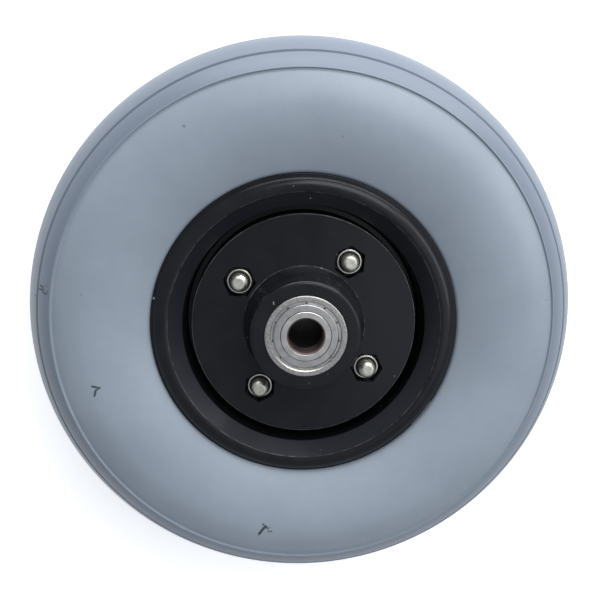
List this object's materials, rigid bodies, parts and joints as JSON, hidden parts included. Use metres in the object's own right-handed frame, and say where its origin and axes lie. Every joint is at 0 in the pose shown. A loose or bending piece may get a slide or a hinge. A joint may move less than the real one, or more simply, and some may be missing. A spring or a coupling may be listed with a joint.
{
  "type": "wheelchair castor wheel",
  "caption": "Castor wheel with a solid grey tyre on a black moulded split rim, bolted together, turning on shielded ball bearings around an open axle bore.",
  "frame": {"origin": "centre of the wheel, on the axle line in the middle plane of the tyre", "axes": "+Z along the axle line, out of the side with the nuts; +X through one bolt; the wheel lies on its side"},
  "size_m": [0.2, 0.2, 0.06],
  "materials": {
    "tyre": "satin blue-grey polyurethane foam skin",
    "rim_plastic": "semi-gloss black moulded nylon",
    "plated_steel": "bright nickel plate",
    "insert_nylon": "dark nylon",
    "spacer_steel": "plain steel tube",
    "bearing_steel": "ground bearing steel",
    "ball_steel": "polished bearing steel",
    "cage_steel": "pressed steel strip",
    "shield_steel": "satin zinc-coated sheet"
  },
  "bodies": {
    "wheel": {"tyre": "tyre", "rim_front": "rim_plastic", "rim_rear": "rim_plastic", "bolts": "plated_steel", "nuts": "plated_steel", "nut_inserts": "insert_nylon", "outer_ring_front": "bearing_steel", "outer_ring_rear": "bearing_steel", "shield_front_outer": "shield_steel", "shield_front_inner": "shield_steel", "shield_rear_outer": "shield_steel", "shield_rear_inner": "shield_steel"},
    "axle_sleeve": {"inner_ring_front": "bearing_steel", "inner_ring_rear": "bearing_steel", "bearing_spacer": "spacer_steel"},
    "ball_set_front": {"balls_front": "ball_steel", "cage_front_outer": "cage_steel", "cage_front_inner": "cage_steel", "cage_rivets_front": "cage_steel"},
    "ball_set_rear": {"balls_rear": "ball_steel", "cage_rear_outer": "cage_steel", "cage_rear_inner": "cage_steel", "cage_rivets_rear": "cage_steel"}
  },
  "joints": [
    {"name": "axle_spin", "type": "hinge", "parent": "wheel", "child": "axle_sleeve", "pos_m": [0, 0, 0], "axis": [0, 0, 1], "continuous": true},
    {"name": "ball_set_front_spin", "type": "hinge", "parent": "wheel", "child": "ball_set_front", "pos_m": [0, 0, 0.026], "axis": [0, 0, 1], "continuous": true},
    {"name": "ball_set_rear_spin", "type": "hinge", "parent": "wheel", "child": "ball_set_rear", "pos_m": [0, 0, -0.026], "axis": [0, 0, 1], "continuous": true}
  ],
  "couplings": [
    {"joint": "ball_set_front_spin", "follows": "axle_spin", "ratio": 0.381},
    {"joint": "ball_set_rear_spin", "follows": "axle_spin", "ratio": 0.381}
  ]
}
